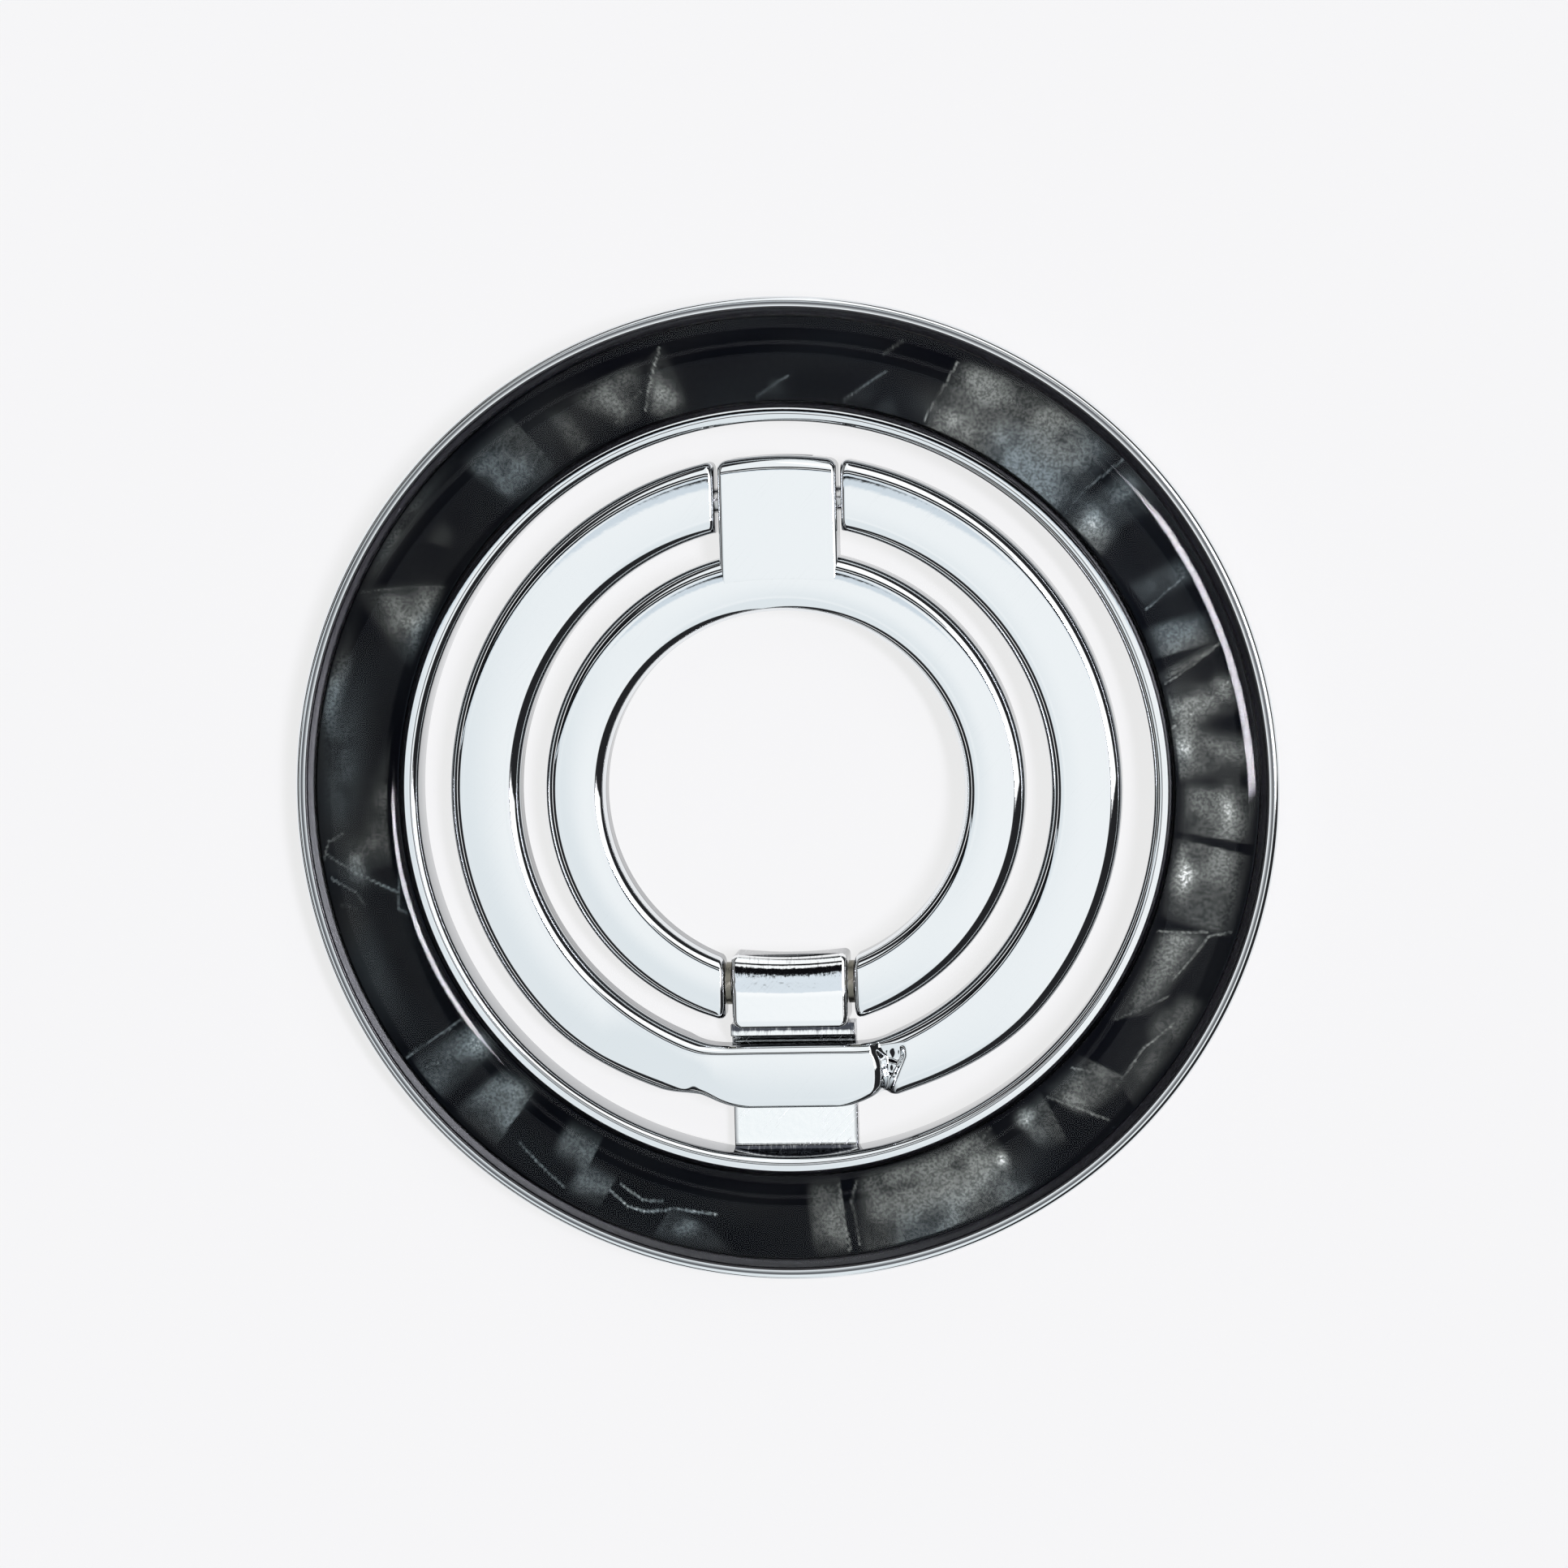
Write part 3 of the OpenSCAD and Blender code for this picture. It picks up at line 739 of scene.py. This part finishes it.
# %% Black lacquer and painted shade on the channel faces
lacquer_and_shade, lt, lb = new_material("black_lacquer_and_painted_shade", (0.006, 0.006, 0.007), 0.0, 0.25)
grain = noise(lt, millimetres(lt), 3.0, 2.0)[0]
lt.links.new(blend_color(lt, grain, (0.004, 0.004, 0.005), (0.012, 0.012, 0.013)),
             lb.inputs["Base Color"])
base_ring.data.materials.append(lacquer_and_shade)
mesh = base_ring.data
centre = np.empty(len(mesh.polygons) * 3)
mesh.polygons.foreach_get("center", centre)
centre = centre.reshape(-1, 3) * SCALE_UP
rho = np.hypot(centre[:, 0], centre[:, 1])
inside = ((rho > CHANNEL_IN - 0.06) & (rho < CHANNEL_OUT + 0.14) &
          (centre[:, 2] > CHANNEL_Z - 0.05) & (centre[:, 2] < RIM_Z + 0.01))
mesh.polygons.foreach_set("material_index", inside.astype(np.int32))
print("dark_channel faces:", int(inside.sum()))

# %% [markdown]
# ## Pearl
# Black pearl sheet is resin with thin mica flakes in it. A flake is a straight
# sided patch whose sheen, where it lies flat to the light, is painted here as a
# lighter colour, and a folded flake gets a painted bright glint along its crease.
# Soft painted highlights are added as clouds. The flakes are drawn by numpy as a
# value at each point of the band, so that no two places are the same, as on a real sheet.

# %% Flakes with painted sheen, painted highlight clouds and crease glints
# a flake: four corners as (degrees, radius), the painted sheen at the first and third corner
FLAKES = [
    ((1, 28.6), (0, 24), (8, 24), (6, 28.4), 0.25, 0.5),
    ((9, 28), (8, 24), (14, 24), (13, 27.8), 0.55, 0.35),
    ((17.7, 28), (15, 24), (16, 23.8), (18, 28), 0.5, 0.6),
    ((18, 27.8), (18.5, 24), (23, 24), (22, 27.8), 0.25, 0.4),
    ((26, 28), (26, 24.6), (30, 24.4), (29.5, 28), 0.4, 0.2),
    ((36, 28.5), (37, 26), (42.4, 25.8), (42.6, 28.6), 0.2, 0.4),
    ((37, 26), (35.4, 24), (43, 23.8), (43, 25.8), 0.6, 0.45),
    ((44, 28.6), (43.7, 23.8), (67.5, 23.8), (66.5, 28.2), 0.3, 0.55),
    ((49, 28.6), (53, 27.2), (60, 27.4), (63, 28.6), 0.5, 0.3),
    ((73.5, 25), (72, 23.9), (75.4, 23.9), (73.6, 25), 0.5, 0.4),
    ((75, 26), (76, 24.2), (80, 24), (77, 25.2), 0.3, 0.15),
    ((90, 25.2), (88, 24), (92, 24), (90.2, 25.2), 0.3, 0.2),
    ((104, 28), (103, 24.2), (108.5, 24.2), (106, 27.6), 0.3, 0.75),
    ((106.5, 27.4), (110, 24.2), (113, 24.2), (117.5, 27), 0.35, 0.5),
    ((118.5, 26.6), (117.5, 24.2), (121, 24), (121, 27), 0.4, 0.3),
    ((125, 28.2), (124, 24.4), (132, 24.2), (133.5, 28), 0.2, 0.4),
    ((140.5, 26.6), (140.8, 25.4), (143, 25.2), (144, 26.6), 0.3, 0.25),
    ((153.6, 28.7), (147.6, 24.2), (160.5, 24.2), (154.2, 28.7), 0.3, 0.65),
    ((162, 28.6), (161, 27.6), (169, 27.6), (171, 28.6), 0.2, 0.15),
    ((184, 26.3), (170.5, 24.3), (189.4, 24.6), (190, 26.9), 0.25, 0.55),
    ((187.4, 28.4), (193.6, 24.2), (194.6, 24.2), (189, 28.5), 0.4, 0.3),
    ((214.6, 28.4), (215, 24.1), (220.4, 24), (221, 28.4), 0.25, 0.6),
    ((223, 28.4), (223.4, 24.3), (229, 24.1), (229.6, 28.2), 0.25, 0.55),
    ((236, 26.6), (235.6, 24.2), (241, 24.1), (241, 26.8), 0.4, 0.3),
    ((240, 28.2), (240.4, 25.8), (245.2, 26), (244.6, 28), 0.35, 0.5),
    ((252, 28.6), (253.4, 26.6), (258.6, 27.2), (262, 28.5), 0.3, 0.5),
    ((272.4, 28.6), (272, 24.1), (276.6, 24), (276.4, 28.6), 0.25, 0.55),
    ((278, 28.6), (279, 24.1), (299.6, 24), (301, 28.4), 0.3, 0.5),
    ((290.6, 25.8), (292, 25), (300, 24.1), (299.4, 24.3), 0.04, 0.05),
    ((304, 27), (304, 24.2), (309, 24.2), (307.6, 27.4), 0.2, 0.45),
    ((311.4, 27), (309.6, 24.2), (317, 24.2), (319, 27.4), 0.5, 0.3),
    ((316.6, 28.5), (318, 26.8), (331.6, 26.9), (332, 28.5), 0.25, 0.45),
    ((327.4, 26), (324, 24.3), (338.4, 24.3), (340, 27.1), 0.4, 0.6),
    ((341, 28.4), (340.6, 24.1), (352, 24), (351, 28.4), 0.3, 0.5),
    ((352.4, 28.4), (353, 24.1), (360, 24), (359, 28.5), 0.45, 0.3)]
# a painted highlight cloud: degrees, radius, half sizes along and across in mm, brightness
HIGHLIGHT_CLOUDS = [
    (6, 24.6, 1.2, 0.6, 0.4), (12.6, 27.3, 0.5, 0.5, 0.35), (41, 24.9, 1.6, 0.7, 0.2),
    (63, 25, 2.4, 0.9, 0.2), (105.5, 25, 0.7, 0.9, 0.5), (128, 24.6, 1.6, 0.8, 0.15),
    (153.5, 25, 1.4, 0.7, 0.25), (188.6, 26.7, 1.0, 0.5, 0.45), (218.6, 24.6, 0.8, 0.6, 0.35),
    (227, 25, 0.8, 0.7, 0.3), (256, 27.6, 0.6, 0.4, 0.5), (299.2, 26.2, 0.35, 0.5, 0.9),
    (305, 24.8, 0.5, 0.4, 0.8), (327, 26.8, 0.7, 0.4, 0.4), (346, 24.8, 1.2, 0.5, 0.9),
    (350, 24.5, 0.6, 0.3, 0.6), (357.6, 26.9, 1.2, 0.5, 0.55), (295, 27, 3, 1, 0.12),
    (145, 28.3, 3, 0.4, 0.15), (167, 28.2, 2.5, 0.4, 0.2), (10, 25, 2, 1, 0.15),
    (176, 27.2, 4.5, 1.2, 0.13), (201, 27.6, 3.5, 0.9, 0.1), (120, 26, 3, 1.5, 0.05)]
# a crease with a painted glint: degrees and radius of its points, then the glint's brightness
CREASE_GLINTS = [
    (((8.2, 23.9), (12.4, 27.4), (13.4, 28)), 0.8), (((14.6, 24), (17.8, 28)), 0.7),
    (((25.6, 24.6), (27.2, 27.6)), 0.5), (((43.2, 28.7), (43.9, 26), (43.3, 23.8)), 0.5),
    (((66.6, 28), (68, 24)), 0.7), (((74, 28.2), (75.8, 27.2)), 0.5),
    (((75, 26.2), (80, 24)), 0.4), (((88.2, 25.2), (92.6, 24)), 0.4),
    (((104.4, 27.9), (108.8, 24.6)), 0.9), (((108.4, 25.8), (113.2, 24.6)), 0.5),
    (((124.2, 25.4), (129.4, 24.4)), 0.7), (((148, 24.2), (153.8, 28.5)), 0.35),
    (((184.6, 27.3), (185.4, 28.2), (187.4, 28.6)), 0.9), (((187, 28.4), (193.8, 24.6)), 0.8),
    (((190, 28.4), (192.4, 27.1), (194.2, 26.8)), 0.7), (((193.4, 28.2), (194.6, 27.2)), 0.4),
    (((190.6, 24.2), (196, 24.9), (197, 24.5)), 0.5), (((214, 28.5), (214.2, 24.2)), 0.6),
    (((216.4, 27.9), (217, 27.1)), 1.0), (((231.6, 27.2), (239.6, 28)), 0.5),
    (((245, 26.9), (248, 27.4), (250.4, 27.3), (254, 26.6), (259.4, 26.4)), 1.1),
    (((246, 26.3), (249.6, 26.7), (252, 26.4)), 0.8), (((276.6, 28.5), (276.4, 24.1)), 0.7),
    (((278, 28.2), (277.8, 25.4), (279, 24.3)), 0.4), (((290.4, 25.9), (300, 24.1)), 0.4),
    (((309.4, 24.6), (311.6, 26.4), (313.2, 28)), 0.6), (((314.8, 24.3), (318.4, 26.8)), 0.7),
    (((316.8, 27), (323, 26.8), (328, 27.5)), 0.7), (((324, 24.4), (330.6, 26.4)), 0.5),
    (((333, 26.2), (340, 27.2), (341.4, 28.4)), 0.6), (((338.2, 24.2), (340.4, 27)), 0.6)]


BAND_R = 26.3


def flake_pattern_and_sheen(angle, radius):
    """Pattern and painted sheen of each point: flakes over each other, then
    painted highlight clouds added, then painted crease glints.

    A flake's mask is the product of its four sides, one of them sharp and the
    others fading, and its painted sheen runs in a straight line from corner to corner.
    Lengths along the band are angle * BAND_R, its middle radius in millimetres."""
    pattern_and_sheen = 0.008 + 0.007 * np.sin(angle * 0.21) * np.sin(angle * 0.083 + radius * 1.3)
    for *corners, start, stop in FLAKES:
        mid = np.mean([c[0] for c in corners])
        near = (angle - mid + 180) % 360 - 180
        x, y = np.radians(near) * BAND_R, radius
        pts = np.array([(math.radians(c[0] - mid) * BAND_R, c[1]) for c in corners])
        mask = np.ones_like(angle)
        for k in range(4):
            (ax, ay), (bx, by) = pts[k], pts[(k + 1) % 4]
            size = math.hypot(bx - ax, by - ay)
            if size > 0.05:
                away = ((bx - ax) * (y - ay) - (by - ay) * (x - ax)) / size
                blur = (0.06, 1.5, 0.5, 1.7)[(k + int(mid)) % 4]
                mask = mask * smooth_step(away, -0.04 - 0.3 * (blur > 0.1), blur)
        run = pts[2] - pts[0]
        along = (x - pts[0, 0]) * run[0] + (y - pts[0, 1]) * run[1]
        share = np.clip(along / (run @ run), 0, 1)
        pattern_and_sheen = pattern_and_sheen * (1 - mask) + mask * (start + (stop - start) * share)
    for a, r, wa, wr, value in HIGHLIGHT_CLOUDS:
        along = np.radians((angle - a + 180) % 360 - 180) * BAND_R
        pattern_and_sheen = pattern_and_sheen + value * np.exp(-(along / wa) ** 2 - ((radius - r) / wr) ** 2)
    broken = 0.62 + 0.38 * np.sin(angle * 9.1 + radius * 5.3) * np.sin(radius * 8.7 - angle * 2.3)
    for line, value in CREASE_GLINTS:
        for (a0, r0), (a1, r1) in zip(line, line[1:]):
            x = np.radians((angle - a0 + 180) % 360 - 180) * BAND_R
            y, bx, by = radius - r0, math.radians(a1 - a0) * BAND_R, r1 - r0
            t = np.clip((x * bx + y * by) / (bx * bx + by * by), 0, 1)
            away = np.hypot(x - t * bx, y - t * by)
            pattern_and_sheen = np.maximum(pattern_and_sheen, value * broken * (1 - smooth_step(away, 0.02, 0.16 * broken)))
    return pattern_and_sheen


spot = points_of(pearl.data)
angle = np.degrees(np.arctan2(spot[:, 1], spot[:, 0])) % 360
pattern_and_sheen = flake_pattern_and_sheen(angle, np.hypot(spot[:, 0], spot[:, 1]))
mark = pearl.data.attributes.new("pattern_and_sheen", "FLOAT", "POINT")
mark.data.foreach_set("value", pattern_and_sheen)
print(f"pearl glow from {pattern_and_sheen.min():.2f} to {pattern_and_sheen.max():.2f}, mean {pattern_and_sheen.mean():.2f}")

# %% Pearl material
pearl_mat, pt, pb = new_material("black_pearl", (0.03, 0.032, 0.035), 1.0, 0.38)
where = millimetres(pt)
drawn = pt.nodes.new("ShaderNodeAttribute")
drawn.attribute_name = "pattern_and_sheen"
sparkle = ramp(pt, noise(pt, where, 6.0, 1.0, 0.5)[0], 0.3, 0.7, 0.6, 1.4)
waves = ramp(pt, noise(pt, where, 0.5, 1.0)[0], 0.35, 0.65, 0.45, 1.2)
grain = calc(pt, "SUBTRACT", calc(pt, "MULTIPLY", sparkle, waves), 1.0)
grain = calc(pt, "MULTIPLY", grain, ramp(pt, drawn.outputs["Fac"], 0.03, 0.16))
bright = calc(pt, "MULTIPLY", drawn.outputs["Fac"], calc(pt, "ADD", grain, 1.0))
# Painted sheen: the colour goes from near black to grey-green where the painted sheen is, and the
# brightest places get a painted cream highlight.
sheen_tone = blend_color(pt, ramp(pt, noise(pt, where, 0.12, 1.0)[0], 0.4, 0.6),
                    (0.148, 0.178, 0.178), (0.172, 0.182, 0.162))
deep = blend_color(pt, calc(pt, "MINIMUM", bright, 1.0), (0.0015, 0.0018, 0.0026), sheen_tone)
painted_highlight = ramp(pt, bright, 0.8, 1.9, 0.0, 0.8)
pt.links.new(blend_color(pt, painted_highlight, deep, (0.75, 0.76, 0.72)), pb.inputs["Base Color"])
pearl.data.materials.append(pearl_mat)

# %% [markdown]
# ## Resin
# Cast resin is clear as glass. Light has to get through it to the pearl, so a
# shadow ray passes it, and every other ray is bent and mirrored as by glass.

# %% Resin material
resin_mat, rt, rb = new_material("clear_resin", (0.93, 0.95, 0.96), 0.0, 0.0)
rb.inputs["Transmission Weight"].default_value = 1.0
rb.inputs["IOR"].default_value = 1.19
bump(rt, noise(rt, millimetres(rt), 0.3, 1.0)[0], 0.0007, rb)
clear = rt.nodes.new("ShaderNodeBsdfTransparent")
path = rt.nodes.new("ShaderNodeLightPath")
choose = rt.nodes.new("ShaderNodeMixShader")
result = rt.nodes["Material Output"]
rt.links.new(path.outputs["Is Shadow Ray"], choose.inputs[0])
rt.links.new(rb.outputs[0], choose.inputs[1])
rt.links.new(clear.outputs[0], choose.inputs[2])
rt.links.new(choose.outputs[0], result.inputs["Surface"])
resin.data.materials.append(resin_mat)

# %% [markdown]
# ## Hidden and small pieces
# The pad, the magnets, the steel ring, the pins and the washers keep their CAD
# shapes, which are right, and get finishes of their own.

# %% Pad, magnets, pins and washers
pad_mat, dt, db = new_material("pad_rubber", (0.03, 0.03, 0.032), 0.0, 0.75)
skin = noise(dt, millimetres(dt), 6.0, 4.0, 0.6)[0]
dt.links.new(blend_color(dt, skin, (0.022, 0.022, 0.024), (0.05, 0.05, 0.052)),
             db.inputs["Base Color"])
bump(dt, skin, 0.03, db)
pin_steel = metal("pin_steel", (0.6, 0.6, 0.6), 0.18, 1.0, 1.0)
# The washers are dark bronze, darkened further as painted shade for the narrow hinge gap.
washer_shaded_bronze = metal("washer_bronze_painted_dark", (0.2, 0.19, 0.155), 0.3, 2.0, 1.0)
nickel = metal("magnet_nickel", (0.7, 0.69, 0.66), 0.14, 1.0, 0.6)
finishes = {"back_pad": pad_mat, "bottom_pin": pin_steel, "top_pin": pin_steel,
            "washer_left": washer_shaded_bronze, "washer_right": washer_shaded_bronze, "shunt_ring": pin_steel}
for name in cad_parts:
    node = bpy.data.objects.get(name)
    if node is None or node.type != "MESH":
        print("no mesh object for", name)
        continue
    for holder in node.material_slots:
        holder.link = "OBJECT"
        holder.material = finishes.get(name, nickel)

# %% [markdown]
# ## Floor and light
# The floor is pale, and a soft shadow stays on it. The studio is painted on the
# sky: a pale dome, a softbox and a narrow bright lamp on the +X side, and black
# flags, which give chrome its dark edges. Rays sent through the resin skip the
# lamp, so that it doesn't scatter bright dots in the pearl. On a flat matt surface
# this light is about 1.4 times the level at which a colour renders as written.

# %% Floor
FLOOR_TONE = 0.875
SHADOW_SHARE = 0.12
floor_mesh = bpy.data.meshes.new("floor")
side = 2.0
floor_mesh.from_pydata([(-side, -side, 0), (side, -side, 0), (side, side, 0), (-side, side, 0)],
                       [], [(0, 1, 2, 3)])
floor = bpy.data.objects.new("floor", floor_mesh)
bpy.context.scene.collection.objects.link(floor)
floor_mat, ft, fb = new_material("pale_floor", (0.9, 0.9, 0.9), 0.0, 0.9)
fb.inputs["Specular IOR Level"].default_value = 0.0
glow_floor = ft.nodes.new("ShaderNodeEmission")
glow_floor.inputs["Color"].default_value = (FLOOR_TONE,) * 3 + (1,)
rays = ft.nodes.new("ShaderNodeLightPath")
seen = calc(ft, "MAXIMUM", rays.outputs["Is Camera Ray"], rays.outputs["Is Glossy Ray"])
seen = calc(ft, "MAXIMUM", seen, rays.outputs["Is Transmission Ray"])
show = ft.nodes.new("ShaderNodeMixShader")
ft.links.new(calc(ft, "MULTIPLY", seen, 1 - SHADOW_SHARE), show.inputs[0])
ft.links.new(fb.outputs[0], show.inputs[1])
ft.links.new(glow_floor.outputs[0], show.inputs[2])
ft.links.new(show.outputs[0], ft.nodes["Material Output"].inputs["Surface"])
floor.data.materials.append(floor_mat)

# %% Studio light painted on the sky
world = bpy.data.worlds.new("studio")
bpy.context.scene.world = world
world.use_nodes = True
wt = world.node_tree
wt.nodes.clear()
coord = wt.nodes.new("ShaderNodeTexCoord")
split = wt.nodes.new("ShaderNodeSeparateXYZ")
wt.links.new(coord.outputs["Generated"], split.inputs[0])
DEGREES = 57.29578
to_x = calc(wt, "MULTIPLY", calc(wt, "ARCTAN2", split.outputs[0], split.outputs[2]), DEGREES)
to_y = calc(wt, "MULTIPLY", calc(wt, "ARCTAN2", split.outputs[1], split.outputs[2]), DEGREES)


def window(value, a, b, soft):
    """1 where value lies between a and b degrees, with soft borders."""
    return calc(wt, "MULTIPLY", ramp(wt, value, a - soft, a + soft),
                ramp(wt, value, b - soft, b + soft, 1.0, 0.0))


def both(a, b):
    """Where two masks overlap."""
    return calc(wt, "MULTIPLY", a, b)


dim = (0.02, 0.02, 0.022)
sky = blend_color(wt, ramp(wt, calc(wt, "ADD", to_x, to_y), -18, -7), (0.85, 0.895, 0.92),
                  (0.99, 1.01, 1.02))
sky = blend_color(wt, window(to_x, -80, -26, 2), sky, dim)
line = both(window(to_x, -52, -47, 1), window(to_y, -70, 70, 4))
sky = blend_color(wt, line, sky, (1.2, 1.2, 1.2))
sky = blend_color(wt, window(to_x, 14, 88, 2), sky, dim)
slope = calc(wt, "ADD", to_x, calc(wt, "MULTIPLY", to_y, 0.48))
softbox = both(window(slope, 18.6, 58, 0.6), window(to_y, -8, 60, 1))
sky = blend_color(wt, softbox, sky, (1.3, 1.3, 1.3))
lamp = both(window(slope, 18.6, 25.5, 0.5), window(to_y, -6, 12, 0.8))
through = wt.nodes.new("ShaderNodeLightPath").outputs["Is Transmission Ray"]
lamp = both(lamp, calc(wt, "SUBTRACT", 1.0, through))
sky = blend_color(wt, lamp, sky, (95, 93, 104))
middle = window(to_x, -42, 15, 4)
black = (0.004, 0.004, 0.005)
sky = blend_color(wt, both(window(to_y, -0.3, 3, 0.4), middle), sky, (0.72, 0.79, 0.85))
sky = blend_color(wt, both(window(to_y, 1.3, 6.6, 0.3), middle), sky, black)
sky = blend_color(wt, both(window(to_y, 10, 21, 0.8), middle), sky, black)
back = wt.nodes.new("ShaderNodeBackground")
wt.links.new(sky, back.inputs["Color"])
out = wt.nodes.new("ShaderNodeOutputWorld")
wt.links.new(back.outputs[0], out.inputs[0])

# %% Camera
PX_PER_MM, IMAGE_PX = 20.187, 1932
SENSOR = 36
DISTANCE = 0.4
LEAN_X, LEAN_Y = math.radians(5), math.radians(5)
ROLL = math.radians(1.45)
target = Vector((-0.18 * MM, 0.27 * MM, 2 * MM))
offset = Vector((math.tan(LEAN_X), math.tan(LEAN_Y), 1)) * DISTANCE
cam_data = bpy.data.cameras.new("camera")
cam = bpy.data.objects.new("camera", cam_data)
bpy.context.scene.collection.objects.link(cam)
cam_data.sensor_width = SENSOR
cam_data.lens = SENSOR * offset.length / (IMAGE_PX / PX_PER_MM * MM)
z_axis = offset.normalized()
up = Vector((math.sin(ROLL), math.cos(ROLL), 0))
x_axis = up.cross(z_axis).normalized()
y_axis = z_axis.cross(x_axis)
cam.matrix_world = Matrix.Translation(target + offset) @ Matrix(
    (x_axis, y_axis, z_axis)).transposed().to_4x4()
cam_data.clip_start, cam_data.clip_end = 0.01, 20
bpy.context.scene.camera = cam
bpy.context.scene.view_settings.view_transform = "Standard"
